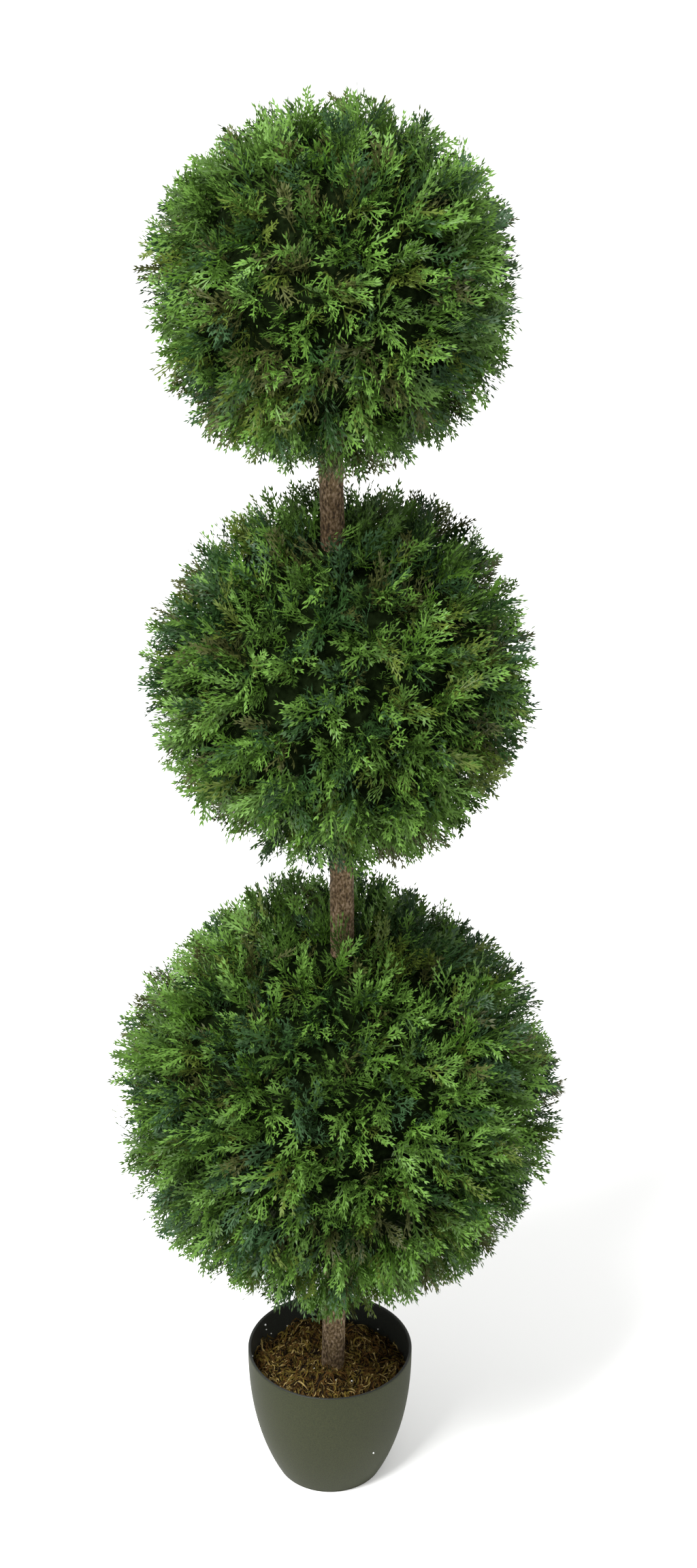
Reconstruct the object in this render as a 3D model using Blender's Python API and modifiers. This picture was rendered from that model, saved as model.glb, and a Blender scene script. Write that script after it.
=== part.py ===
"""Artificial thuja topiary: three balls of foliage on one stem, planted in a round plastic pot.

Blender 4.5, metres, +Z up. The origin is the middle of the pot's flat underside, on the pot's axis.
The front faces -Y, and the stem's slight bow lies in the XZ plane.
"""
import itertools
import math
import random

import bmesh
import bpy
from mathutils import Matrix, Vector

# Pot: thin-walled and turned, widening quickly above its foot and nearly upright at its rim
POT_HEIGHT = 0.147
POT_RIM_RADIUS = 0.0820
POT_FOOT_RADIUS = 0.0527
POT_WALL = 0.003
POT_FLOOR = 0.0035
POT_FOOT_ROUNDING = 0.0015
POT_UPRIGHT_POWER = 2.30
POT_FLARE_POWER = 1.08
WALL_STEPS = 7
WALL_STEP_GROWTH = 1.3
LIP_STEPS = 3

# Filling: the cast plug that grips the stem's foot and gives the pot its weight
FILLING_TOP = 0.100

# Moss: a low heap over the filling, highest at the stem
MOSS_EDGE_HEIGHT = 0.111
MOSS_HEAP_HEIGHT = 0.119
MOSS_EDGE_GAP = 0.002
MOSS_FALL_POWER = 2.2
MOSS_RINGS = 7
MOSS_LUMP_HEIGHT = 0.0016
MOSS_LUMP_SPACING = 0.030

# Stem: one straight-grained stick with a slight bow, from inside the filling into the top ball
STEM_FOOT = 0.016
STEM_TOP = 1.345
STEM_FOOT_RADIUS = 0.0115
STEM_TOP_RADIUS = 0.0108
STEM_BOW = 0.0117
STEM_BOW_END = 1.20
STEM_BOW_POWER = 1.3
STEM_POINTS = 19
STEM_SIDE_RESOLUTION = 4

# Gaps that keep touching pieces apart
FIT_GAP = 0.0005
LIMB_CLEARANCE = 0.004

# Round pieces share one count of sides, so that nested walls stay parallel
TURN_STEPS = 36

# Foliage: a lumpy core with flat, toothed sprays standing out of it
CORE_SHARE = 0.74
CORE_LUMP = 0.05
CORE_SUBDIVISIONS = 3
SPRAYS_PER_BALL = 106
SPRAY_THICKNESS = 0.0014
SPRAY_ROOT_SHARE = 0.80
SPRAY_WIDTH_SHARE = 0.26
SPRAY_WIDTH_CHANGE = 0.15
SPRAY_LEAN = 0.50
SHORTEST_REACH = 0.98
LONGEST_REACH = 1.05
GOLDEN_ANGLE = math.pi * (3.0 - math.sqrt(5.0))

# A spray's outline, as shares of its length and width
SPRAY_STALK_HALF = 0.055
SIDE_TWIG_TIP = (0.80, 0.50)
SIDE_TWIG_FORK = (0.62, 0.17)
END_TWIG_TIP = (1.0, 0.22)
END_TWIG_FORK = (0.78, 0.0)
SHORT_SIDE_SHARE = 0.93

# Each ball: its centre, and the radius that most of its sprays reach
BALLS = {
    "ball_bottom": {"x": 0.0059, "z": 0.4636, "radius": 0.2123, "seed": 97},
    "ball_middle": {"x": 0.0112, "z": 0.9309, "radius": 0.1787, "seed": 59},
    "ball_top": {"x": 0.0006, "z": 1.3244, "radius": 0.1656, "seed": 44},
}

# Colours are linear red, green, blue
POT_GREEN = (0.078, 0.087, 0.050)
FILLING_GREY = (0.34, 0.33, 0.30)
MOSS_BROWN = (0.090, 0.066, 0.024)
BARK_BROWN = (0.120, 0.082, 0.058)
LEAF_GREEN = (0.048, 0.105, 0.024)


def clear_scene():
    """Remove every object that the scene starts with."""
    for obj in list(bpy.data.objects):
        bpy.data.objects.remove(obj, do_unlink=True)


def new_collection(name):
    collection = bpy.data.collections.new(name)
    bpy.context.scene.collection.children.link(collection)
    return collection


def new_material(name, colour, roughness):
    material = bpy.data.materials.new(name)
    material.use_nodes = True
    shader = material.node_tree.nodes["Principled BSDF"]
    shader.inputs["Base Color"].default_value = (*colour, 1.0)
    shader.inputs["Roughness"].default_value = roughness
    shader.inputs["Metallic"].default_value = 0.0
    material.diffuse_color = (*colour, 1.0)
    return material


def new_object(name, data, collection, material=None):
    obj = bpy.data.objects.new(name, data)
    collection.objects.link(obj)
    if material:
        data.materials.append(material)
    return obj


def evaluated_mesh(obj):
    """A new mesh of the object as the viewport shows it, with coincident points joined."""
    depsgraph = bpy.context.evaluated_depsgraph_get()
    mesh = bpy.data.meshes.new_from_object(obj.evaluated_get(depsgraph))
    shape = bmesh.new()
    shape.from_mesh(mesh)
    bmesh.ops.remove_doubles(shape, verts=shape.verts, dist=1e-6)
    bmesh.ops.recalc_face_normals(shape, faces=shape.faces)
    shape.to_mesh(mesh)
    shape.free()
    return mesh


def apply_modifiers(obj):
    """Replace the object's mesh by its evaluated one and drop the modifiers."""
    mesh = evaluated_mesh(obj)
    old = obj.data
    obj.modifiers.clear()
    obj.data = mesh
    bpy.data.meshes.remove(old)


def shade_round(obj):
    obj.data.shade_smooth()
    obj.data.set_sharp_from_angle(angle=math.radians(40.0))


def pot_radius(height):
    """The pot's outer radius at a height: a quarter of a superellipse between foot and rim."""
    rest = 1.0 - min(max(height / POT_HEIGHT, 0.0), 1.0)
    share = (1.0 - rest ** POT_UPRIGHT_POWER) ** (1.0 / POT_FLARE_POWER)
    return POT_FOOT_RADIUS + (POT_RIM_RADIUS - POT_FOOT_RADIUS) * share


def wall_heights(low, high):
    """Heights from low to high, closer together near the foot, where the wall curves most."""
    steps = range(WALL_STEPS + 1)
    return [low + (high - low) * (i / WALL_STEPS) ** WALL_STEP_GROWTH for i in steps]


def stem_centre(height):
    """A point on the stem's centre line: a half wave to one side, straight at its top."""
    share = min(max(height / STEM_BOW_END, 0.0), 1.0)
    return Vector((STEM_BOW * math.sin(math.pi * share) ** STEM_BOW_POWER, 0.0, height))


def turned(name, profile, collection, material):
    """Turn a profile of (radius, height) pairs that runs down its outer side."""
    mesh = bpy.data.meshes.new(name)
    points = [(radius, 0.0, height) for radius, height in profile]
    mesh.from_pydata(points, [(i, i + 1) for i in range(len(points) - 1)], [])
    obj = new_object(name, mesh, collection, material)
    turn = obj.modifiers.new("Turn", "SCREW")
    turn.axis = "Z"
    turn.steps = TURN_STEPS
    turn.render_steps = TURN_STEPS
    turn.use_merge_vertices = True
    turn.merge_threshold = 0.00005
    apply_modifiers(obj)
    return obj


def tube(name, low, high, extra_radius, collection, material=None):
    """A tapering tube along the stem's centre line, as a closed mesh."""
    curve = bpy.data.curves.new(name + "_line", "CURVE")
    curve.dimensions = "3D"
    curve.bevel_depth = 1.0
    curve.bevel_resolution = STEM_SIDE_RESOLUTION
    curve.render_resolution_u = 0
    curve.use_fill_caps = True
    line = curve.splines.new("POLY")
    line.points.add(STEM_POINTS - 1)
    for i, point in enumerate(line.points):
        height = low + (high - low) * i / (STEM_POINTS - 1)
        along = (height - STEM_FOOT) / (STEM_TOP - STEM_FOOT)
        radius = STEM_FOOT_RADIUS + (STEM_TOP_RADIUS - STEM_FOOT_RADIUS) * along
        point.co = (*stem_centre(height), 1.0)
        point.radius = radius + extra_radius
    guide = bpy.data.objects.new(name + "_line", curve)
    bpy.context.scene.collection.objects.link(guide)
    obj = new_object(name, evaluated_mesh(guide), collection, material)
    bpy.data.objects.remove(guide, do_unlink=True)
    return obj


def bore(obj, cutter):
    """Cut the cutter's shape out of the object."""
    cut = obj.modifiers.new("Bore", "BOOLEAN")
    cut.operation = "DIFFERENCE"
    cut.solver = "EXACT"
    cut.object = cutter
    apply_modifiers(obj)


def build_pot(collection):
    """Floor, inner wall, rounded lip, outer wall, rounded foot and flat underside in one profile."""
    lip = POT_WALL / 2
    lip_centre = POT_RIM_RADIUS - lip
    top = POT_HEIGHT - lip
    profile = [(0.0, POT_FLOOR)]
    for height in wall_heights(POT_FLOOR, top):
        profile.append((pot_radius(height) - POT_WALL, height))
    for i in range(1, LIP_STEPS + 1):
        angle = math.pi * (1.0 - i / (LIP_STEPS + 1))
        profile.append((lip_centre + lip * math.cos(angle), top + lip * math.sin(angle)))
    for height in reversed(wall_heights(POT_FOOT_ROUNDING, top)):
        profile.append((pot_radius(height), height))
    profile.append((POT_FOOT_RADIUS - POT_FOOT_ROUNDING, 0.0))
    profile.append((0.0, 0.0))
    material = new_material("pot_plastic", POT_GREEN, 0.62)
    return turned("pot", profile, collection, material)


def build_filling(collection, cutter):
    """A plug that follows the pot's inner wall up to its own flat top."""
    low = POT_FLOOR + FIT_GAP
    profile = [(0.0, FILLING_TOP)]
    for height in reversed(wall_heights(low, FILLING_TOP)):
        profile.append((pot_radius(height) - POT_WALL - FIT_GAP, height))
    profile.append((0.0, low))
    obj = turned("pot_filling", profile, collection, new_material("cast_filling", FILLING_GREY, 0.9))
    bore(obj, cutter)
    return obj


def build_moss(collection, cutter):
    """A heap whose top falls from the stem to the wall, with low lumps pressed into it."""
    low = FILLING_TOP + FIT_GAP
    edge = pot_radius(low) - POT_WALL - MOSS_EDGE_GAP
    profile = []
    for i in range(MOSS_RINGS + 1):
        share = i / MOSS_RINGS
        fall = (MOSS_HEAP_HEIGHT - MOSS_EDGE_HEIGHT) * share ** MOSS_FALL_POWER
        profile.append((edge * share, MOSS_HEAP_HEIGHT - fall))
    profile.append((edge, low))
    profile.append((0.0, low))
    obj = turned("moss", profile, collection, new_material("dry_moss", MOSS_BROWN, 1.0))
    turn = 2.0 * math.pi / MOSS_LUMP_SPACING
    for vertex in obj.data.vertices:
        x, y, height = vertex.co
        if height > low + FIT_GAP:
            lump = math.sin(turn * x + 1.0) * math.cos(turn * y) + math.sin(turn * (x + y) / 2)
            vertex.co.z = height + MOSS_LUMP_HEIGHT * lump
    bore(obj, cutter)
    return obj


def build_stem(collection):
    material = new_material("stem_bark", BARK_BROWN, 0.85)
    return tube("stem", STEM_FOOT, STEM_TOP, 0.0, collection, material)


def spray_outline():
    """Outline of a flat spray one unit long and one wide: two pointed side twigs and a forked tip."""
    left = [(0.0, SPRAY_STALK_HALF), SIDE_TWIG_TIP, SIDE_TWIG_FORK, END_TWIG_TIP]
    right = [(along * SHORT_SIDE_SHARE, -across) for along, across in left]
    return left + [END_TWIG_FORK] + right[::-1]


def spray_mesh():
    """One spray as a thin closed plate: a filled outline with its front and back caps welded."""
    curve = bpy.data.curves.new("spray_outline", "CURVE")
    curve.dimensions = "2D"
    curve.fill_mode = "BOTH"
    curve.extrude = SPRAY_THICKNESS / 2
    outline = spray_outline()
    line = curve.splines.new("POLY")
    line.points.add(len(outline) - 1)
    for point, (along, across) in zip(line.points, outline):
        point.co = (along, across, 0.0, 1.0)
    line.use_cyclic_u = True
    guide = bpy.data.objects.new("spray_outline", curve)
    bpy.context.scene.collection.objects.link(guide)
    mesh = evaluated_mesh(guide)
    bpy.data.objects.remove(guide, do_unlink=True)
    return mesh


def spread_directions(count):
    """Even directions over a sphere, on a spiral that turns by the golden angle."""
    for i in range(count):
        height = 1.0 - 2.0 * (i + 0.5) / count
        ring = math.sqrt(1.0 - height * height)
        angle = GOLDEN_ANGLE * i
        yield Vector((ring * math.cos(angle), ring * math.sin(angle), height))


def spray_placement(direction, centre, core, reach, width, chance):
    """Matrix that puts a unit spray's root inside the core and its furthest tip at the reach.

    The spray leans off the ball's radius by a random angle to a random side, and is turned at
    random about its own length. Its length then solves |root + length * along| = reach.
    """
    tilt_axis = direction.orthogonal().normalized()
    tilt_axis.rotate(Matrix.Rotation(chance.uniform(0.0, 2.0 * math.pi), 3, direction))
    along = direction.copy()
    along.rotate(Matrix.Rotation(chance.uniform(0.0, SPRAY_LEAN), 3, tilt_axis))
    across = along.orthogonal().normalized()
    across.rotate(Matrix.Rotation(chance.uniform(0.0, 2.0 * math.pi), 3, along))
    normal = along.cross(across)
    root = direction * core * SPRAY_ROOT_SHARE
    forward = along.dot(root)
    length = math.sqrt(forward ** 2 + reach ** 2 - root.length ** 2) - forward
    turn = Matrix((along * length, across * width, normal)).transposed().to_4x4()
    return Matrix.Translation(centre + root) @ turn


def touches_stem(mesh, place):
    """True where a corner of the placed spray, or the middle between two, is too near the stem."""
    limit = STEM_FOOT_RADIUS + LIMB_CLEARANCE
    corners = [place @ vertex.co for vertex in mesh.vertices]
    for a, b in itertools.combinations_with_replacement(corners, 2):
        point = (a + b) / 2
        if point.z < STEM_TOP + limit and (point - stem_centre(point.z)).length < limit:
            return True
    return False


def build_core(name, ball, collection, material, chance):
    """The ball's dark inside: a sphere pushed in and out by a seeded amount at each point."""
    radius = ball["radius"] * CORE_SHARE
    shape = bmesh.new()
    bmesh.ops.create_icosphere(shape, subdivisions=CORE_SUBDIVISIONS, radius=radius)
    for vertex in shape.verts:
        vertex.co *= 1.0 + chance.uniform(-CORE_LUMP, CORE_LUMP)
    bmesh.ops.translate(shape, verts=shape.verts, vec=(ball["x"], 0.0, ball["z"]))
    mesh = bpy.data.meshes.new(name)
    shape.to_mesh(mesh)
    shape.free()
    return new_object(name, mesh, collection, material)


def build_ball(name, ball, collection, cutter, spray_shape, material):
    """A bored core and its sprays, joined into one body by a Boolean union on a collection."""
    chance = random.Random(ball["seed"])
    obj = build_core(name, ball, collection, material, chance)
    bore(obj, cutter)
    centre = Vector((ball["x"], 0.0, ball["z"]))
    core = ball["radius"] * CORE_SHARE
    pieces = new_collection(name + "_sprays")
    for i, direction in enumerate(spread_directions(SPRAYS_PER_BALL)):
        reach = ball["radius"] * chance.uniform(SHORTEST_REACH, LONGEST_REACH)
        change = chance.uniform(-SPRAY_WIDTH_CHANGE, SPRAY_WIDTH_CHANGE)
        width = ball["radius"] * SPRAY_WIDTH_SHARE * (1.0 + change)
        place = spray_placement(direction, centre, core, reach, width, chance)
        if touches_stem(spray_shape, place):
            continue
        spray = bpy.data.objects.new(f"{name}_spray_{i}", spray_shape)
        spray.matrix_world = place
        pieces.objects.link(spray)
    bpy.context.view_layer.update()
    join = obj.modifiers.new("Join", "BOOLEAN")
    join.operation = "UNION"
    join.solver = "EXACT"
    join.operand_type = "COLLECTION"
    join.collection = pieces
    apply_modifiers(obj)
    for spray in list(pieces.objects):
        bpy.data.objects.remove(spray, do_unlink=True)
    bpy.data.collections.remove(pieces)
    return obj


def main():
    clear_scene()
    collection = new_collection("thuja_topiary")
    cutters = new_collection("cutters")
    stem_cutter = tube("stem_bore", STEM_FOOT - FIT_GAP, STEM_TOP + FIT_GAP, FIT_GAP, cutters)
    stem_cutter.hide_render = True
    stem_cutter.display_type = "WIRE"
    for obj in (
        build_pot(collection),
        build_filling(collection, stem_cutter),
        build_moss(collection, stem_cutter),
        build_stem(collection),
    ):
        shade_round(obj)
    spray_shape = spray_mesh()
    leaf = new_material("plastic_foliage", LEAF_GREEN, 0.7)
    for name, ball in BALLS.items():
        build_ball(name, ball, collection, stem_cutter, spray_shape, leaf)


main()
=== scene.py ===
import math

import bpy
import numpy as np
from bpy.props import FloatProperty, FloatVectorProperty, IntProperty, PointerProperty, StringProperty
from bpy.types import Operator, Panel, PropertyGroup
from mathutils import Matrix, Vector


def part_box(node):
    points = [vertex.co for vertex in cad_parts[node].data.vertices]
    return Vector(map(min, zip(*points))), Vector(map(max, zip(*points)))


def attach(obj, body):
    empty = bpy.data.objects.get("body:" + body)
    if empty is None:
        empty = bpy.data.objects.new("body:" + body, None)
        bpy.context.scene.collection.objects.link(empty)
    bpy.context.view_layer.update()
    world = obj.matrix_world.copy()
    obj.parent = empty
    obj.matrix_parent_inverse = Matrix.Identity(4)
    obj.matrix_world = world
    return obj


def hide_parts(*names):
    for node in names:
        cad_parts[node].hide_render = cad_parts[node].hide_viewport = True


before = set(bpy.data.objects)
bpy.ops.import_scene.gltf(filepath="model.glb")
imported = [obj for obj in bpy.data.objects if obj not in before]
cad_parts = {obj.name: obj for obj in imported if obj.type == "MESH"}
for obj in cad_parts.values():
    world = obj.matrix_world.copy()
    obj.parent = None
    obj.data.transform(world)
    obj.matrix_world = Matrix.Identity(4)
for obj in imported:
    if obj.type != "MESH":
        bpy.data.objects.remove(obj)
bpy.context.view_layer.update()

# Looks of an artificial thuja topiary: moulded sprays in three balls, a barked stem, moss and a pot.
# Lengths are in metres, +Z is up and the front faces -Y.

bl_info = {
    "name": "Thuja Topiary",
    "version": (1, 0, 0),
    "blender": (4, 5, 0),
    "location": "3D View > Sidebar > Topiary",
    "description": "Builds the foliage, stem, moss and pot of an artificial topiary",
    "category": "Add Mesh",
}

BODY = "root"
FULL_TURN = 2.0 * math.pi
GOLDEN_ANGLE = math.pi * (3.0 - math.sqrt(5.0))

# The same named sizes as the solids have
BALLS = {
    "ball_top": {"x": 0.0006, "z": 1.3244, "radius": 0.1656, "picks": 121, "seed": 44},
    "ball_middle": {"x": 0.0112, "z": 0.9309, "radius": 0.1787, "picks": 141, "seed": 59},
    "ball_bottom": {"x": 0.0059, "z": 0.4636, "radius": 0.2123, "picks": 199, "seed": 97},
}
STEM_BOW = 0.0117
STEM_BOW_END = 1.20
STEM_BOW_POWER = 1.3
STEM_FOOT_RADIUS = 0.0115
STEM_TOP_RADIUS = 0.0108
POT_HEIGHT = 0.147
POT_RIM_RADIUS = 0.0820
POT_FOOT_RADIUS = 0.0527
POT_WALL = 0.003
POT_FLOOR = 0.0035
POT_FOOT_ROUNDING = 0.0015
POT_UPRIGHT_POWER = 2.30
POT_FLARE_POWER = 1.08
MOSS_FALL_POWER = 2.2

# One spray's pattern: places are shares of the spray's length, angles are in degrees
SPRAY_PATTERNS = 8
SIDE_BRANCHLETS = 9
BRANCHLET_START = 0.22
BRANCHLET_SPAN = 0.66
BRANCHLET_SLIP = 0.25
BRANCHLET_LENGTHS = (0.82, 1.1)
BRANCHLET_ANGLE = 42.0
BRANCHLET_CLOSING = 18.0
BRANCHLET_BEND = 0.35
BRANCHLET_LIFT = 0.65
BRANCHLET_WIDTHS = (0.0013, 0.0011)
BRANCHLET_TAPER = 0.85
LAST_BRANCHLET_TURN = 0.2
FAN_START = 0.25
FAN_SPAN = 0.62
FAN_POWER = 0.8
STALK_WIDTHS = (0.0016, 0.0013)
STALK_SWAY = 0.0016
STALK_WAVES = 2.6
STALK_PHASES = 6.0

# The prongs of one branchlet, from its root to its forked tip
PRONG_PLACES = (0.34, 0.54, 0.72, 0.97, 1.0)
PRONG_SIDES = (1.0, -1.0, 1.0, -1.0, 1.0)
PRONG_ANGLES = (38.0, 35.0, 32.0, 22.0, 16.0)
PRONG_SIZES = (0.85, 0.85, 0.85, 0.9, 1.0)
PRONG_ROLL = 0.7
PRONG_WIDEST = 0.45
PRONG_SLIP = 0.03
PRONG_CLOSING = 0.55
PRONG_SPREADS = (0.8, 1.2)
PRONG_LENGTHS = (0.85, 1.15)
PRONG_WIDTHS = (0.85, 1.1)

# How the sprays of a ball stand: reaches are shares of the ball's radius
PICK_UNEVENNESS = 0.22
PICK_SPREAD = 2.25
FIRST_TIP = 0.4
PICK_LEVELS = (-0.07, 0.035)
FULL_LEVEL = 0.055
FALL_BACK = 0.17
HIGHEST_LEVEL = 0.048
REACH_LIMIT = 1.06
FORK_SHARES = (0.62, 0.72)
SPRAY_LEAN = 0.17
SPRAY_SCALES = (0.86, 1.1)
SPRAY_BEND = 7.0
SPRAY_CUP = 20.0
SPRAY_STEM_GAP = 0.0012

# The picks' own stalks as shares of the ball's radius, and the rods of all stalks
PICK_STALK = (0.55, 0.74)
ROD_RADIUS = 0.0011
ROD_TAPER = 0.7
ROD_STEM_GAP = 0.003
SHORTEST_ROD = 0.001

# Greens, the share of all sprays that each takes, and the share of those whose outer prongs take the
# last green. The last green is lighter new growth of the plastic, and painted light on the ball's outside.
GREENS = ("fresh_green", "leaf_green", "yellow_green", "blue_green", "deep_green", "olive_green", "tip_green")
GREEN_SHARES = np.array([0.21, 0.34, 0.15, 0.12, 0.10, 0.08])
NEW_GROWTH_LIT_SHARES = np.array([0.75, 0.45, 0.6, 0.1, 0.12, 0.1])
PICK_GREEN_SHARE = 0.4
NEW_GROWTH_LIT_FROM = 0.72

# Lumps as (strength, cells across, cells down, number added to the ball's seed)
CORE_ROWS = 46
CORE_COLUMNS = 92
CORE_LUMPS = ((0.045, 22, 12, 0), (0.03, 46, 25, 1))

STEM_SIDES = 60
STEM_RING_GAP = 0.0022
BARK_SWELLING = 0.0003
CRACK_EDGE = 0.25
CRACK_GAIN = 3.0
# Bark noises as (cells round, cells up, seed)
BARK_SWELLS = (3, 22, 1)
BARK_CRACKS = (9, 70, 2)
BARK_FLAKES = (26, 300, 4)

POT_SIDES = 160
INNER_WALL_STEPS = 40
OUTER_WALL_STEPS = 60
LIP_STEPS = 11
FOOT_STEPS = 5
POT_HUB_RADIUS = 0.03

MOSS_LOW = 0.1005
MOSS_SIDES = 220
MOSS_RINGS = 46
MOSS_SPREAD = 0.078
MOSS_NOISE_SPAN = 0.2
MOSS_WALL_GAP = 0.0004
MOSS_OVERHANG = 0.0012
MOSS_STEM_GAP = 0.0002
# Lumps as (strength, cells across the span, seed)
MOSS_LUMPS = ((1.0, 8, 5), (0.45, 19, 6), (0.2, 47, 7))
STRAND_STEPS = 7
STRAND_SPREAD = 0.0765
STRAND_GAP = 0.0006
STRAND_SEED = 17
# Radians that a strand turns at each step: its own curl, and the step's
STRAND_CURLS = (0.55, 0.35)
STRAND_LENGTHS = (0.3, 1.0)
STRAND_LENGTH_POWER = 1.3
STRAND_LIFTS = (-0.0012, 0.0026)
STRAND_WAVE = 0.0045
STRAND_WAVE_TURNS = (0.6, 1.4)
STRAND_WIDTHS = (0.35, 1.0)
STRAND_TILT = 1.1
# Strand colours and the share of all strands that each takes
STRAND_COLOURS = ("brown", "olive", "tan", "dark")
STRAND_SHARES = (0.42, 0.25, 0.13, 0.20)

# Foam beads on the pot's walls: turn about the axis in degrees, and height
INNER_WALL_BEADS = (
    (140.0, 0.121), (145.5, 0.131), (146.5, 0.138), (177.0, 0.130), (124.0, 0.119), (51.0, 0.118),
)
OUTER_WALL_BEADS = ((-53.7, 0.0575),)
# Foam beads lying on the moss: x and y
MOSS_BEADS = (
    (0.024, -0.005), (0.022, -0.017), (0.006, -0.030), (-0.016, -0.002), (0.033, 0.044), (-0.052, -0.020),
)
BEAD_LIFT = 0.0022
BEAD_SEED = 3
BEAD_SIZES = (0.5, 1.0)
# How far a bead's middle is off the wall, in radii of the largest bead
INNER_BEAD_OFF = 0.6
OUTER_BEAD_OFF = 0.3
BEAD_SIDES = 8
BEAD_TILTS = (55.0, 20.0, -20.0, -55.0)

# Real sizes of the materials' patterns
DYE_CLOUD = 0.012
STALK_CLOUD = 0.008
CORE_CLUMP = 0.006
BARK_FLAKE = 0.0022
BARK_PATCH = 0.016
WALL_DRIFT = 0.06
MOSS_BLOTCH = 0.004
CEMENT_MOTTLE = 0.005
FOAM_CELL = 0.0004
PAPER_DRIFT = 0.4
WHITE = (1.0, 1.0, 1.0)

# The Mix node's colour sockets, by number
MIX_FACTOR = 0
MIX_UNDER = 6
MIX_OVER = 7
MIX_RESULT = 2

FLOOR_SIDES = 96
FLOOR_RINGS = (0.5, 2.0, 8.0, 30.0)
FLOOR_DROP = 0.0002
ROOM_BRIGHTNESS = 1.03
# Lamps as (name, place, size, watts)
LAMPS = (
    ("key", (-1.8, -2.4, 4.9), 1.9, 560.0),
    ("fill", (2.4, -2.0, 2.2), 2.0, 15.0),
)
LAMP_AIM = (0.0, 0.0, 0.9)
SENSOR_WIDTH = 36.0
FAR_CLIP = 100.0


def linear(hex_colour):
    """Turn an sRGB hex colour into linear red, green and blue."""
    parts = [int(hex_colour[i:i + 2], 16) / 255.0 for i in (0, 2, 4)]
    return tuple(p / 12.92 if p <= 0.04045 else ((p + 0.055) / 1.055) ** 2.4 for p in parts)


def shade(colour, factor):
    """A linear colour made darker or lighter by a factor, at most white."""
    return tuple(min(1.0, c * factor) for c in colour)


def colour_property(name, description, hex_colour):
    """A colour that a user may change, from its sRGB hex value."""
    return FloatVectorProperty(
        name=name, description=description, subtype="COLOR", size=3, min=0.0, max=1.0,
        default=linear(hex_colour),
    )


def length_property(name, description, default):
    """A length in metres that a user may change."""
    return FloatProperty(name=name, description=description, default=default, min=0.0, unit="LENGTH")


class FoliageSettings(PropertyGroup):
    """Sizes and greens of the moulded sprays"""

    sprays_per_pick: IntProperty(
        name="Sprays per pick", description="Sprays on each of a ball's picks", default=13, min=1,
    )
    spray_length: length_property("Spray length", "From a spray's root to its last branchlets", 0.045)
    branchlet_length: length_property("Branchlet length", "The longest side branchlet", 0.0175)
    prong_length: length_property("Prong length", "The longest prong on a branchlet", 0.0062)
    prong_width: length_property("Prong width", "Widest part of a prong", 0.0020)
    core_share: FloatProperty(
        name="Core share", description="Core radius as a share of the ball's", default=0.77,
        subtype="FACTOR",
    )
    fresh_green: colour_property("Fresh green", "Brightest sprays", "41611D")
    leaf_green: colour_property("Leaf green", "Most sprays", "344D19")
    yellow_green: colour_property("Yellow green", "Warmest sprays", "47561E")
    blue_green: colour_property("Blue green", "Coolest sprays", "2B4427")
    deep_green: colour_property("Deep green", "Darkest sprays", "213A17")
    olive_green: colour_property("Olive green", "Dullest sprays", "3A3F1D")
    # The last green: lighter new growth of the plastic, and painted light where light falls on the ball's
    # outside.
    tip_green: colour_property("Tip green", "Young tips of the sprays", "4E6E2B")
    # Twig brown is darkened with painted shade for the little light inside the balls.
    twig_brown: colour_property("Twig brown", "Stalks inside the balls", "232A15")
    # The core's near-black green is painted shade for the inside of the balls.
    core_green: colour_property("Core green", "The dark inside of the balls", "121A0B")


class StemSettings(PropertyGroup):
    """Relief and colours of the bark"""

    flake_depth: length_property("Flake depth", "Height of the bark's flakes", 0.00035)
    crack_depth: length_property("Crack depth", "Depth of the bark's cracks", 0.0005)
    bark: colour_property("Bark", "Most of the bark", "5E4E35")
    dark_bark: colour_property("Dark bark", "Cracks and damp patches", "33281E")
    pale_bark: colour_property("Pale bark", "Rubbed flakes", "8E7C68")


class PotSettings(PropertyGroup):
    """Colours and grain of the pot"""

    outside: colour_property("Outside", "Olive grey outer wall", "2E311C")
    outside_dark: colour_property("Outside dark", "Hollows of the outer wall's grain", "242717")
    inside: colour_property("Inside", "Charcoal inner wall", "2B2D29")
    grain: length_property("Grain", "Size of the sandy grain on the wall", 0.0009)
    bead_radius: length_property("Bead radius", "Radius of the largest stray foam bead", 0.00115)


class MossSettings(PropertyGroup):
    """Heap, strands and colours of the moss"""

    edge_height: length_property("Edge height", "Height of the heap at the pot's wall", 0.1125)
    heap_height: length_property("Heap height", "Height of the heap at the stem", 0.1185)
    lump_height: length_property("Lump height", "How far the lumps stand up", 0.009)
    strands: IntProperty(name="Strands", description="Loose strands over the heap", default=4300, min=0)
    strand_length: length_property("Strand length", "Length of the longest strand", 0.026)
    strand_width: length_property("Strand width", "Width of the widest strand", 0.0019)
    brown: colour_property("Brown", "Most strands", "523B1B")
    olive: colour_property("Olive", "Fresher strands", "675826")
    tan: colour_property("Tan", "Driest strands", "9D8956")
    # Dark strands stand for strands deep in the heap: their near black is painted shade, dealt at random over
    # the heap.
    dark: colour_property("Dark", "Strands deep in the heap", "20170E")
    # The heap's near-black brown is painted shade for the hollows among the strands.
    bed: colour_property("Bed", "The heap under the strands", "22180E")


class StageSettings(PropertyGroup):
    """Camera and floor"""

    distance: length_property("Distance", "Camera to the pot's axis, level", 3.4349)
    height: length_property("Height", "Camera above the floor", 3.0253)
    pitch: FloatProperty(
        name="Pitch", description="How far the camera looks down", default=0.5716, subtype="ANGLE",
    )
    lens: FloatProperty(
        name="Lens", description="Focal length in millimetres", default=101.9, unit="CAMERA",
    )
    axis_offset: FloatProperty(
        name="Axis offset", default=0.01186, subtype="FACTOR",
        description="From the pot's axis to the picture's middle, in picture heights",
    )
    floor: colour_property("Floor", "Pale studio floor", "FCFCFB")


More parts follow.
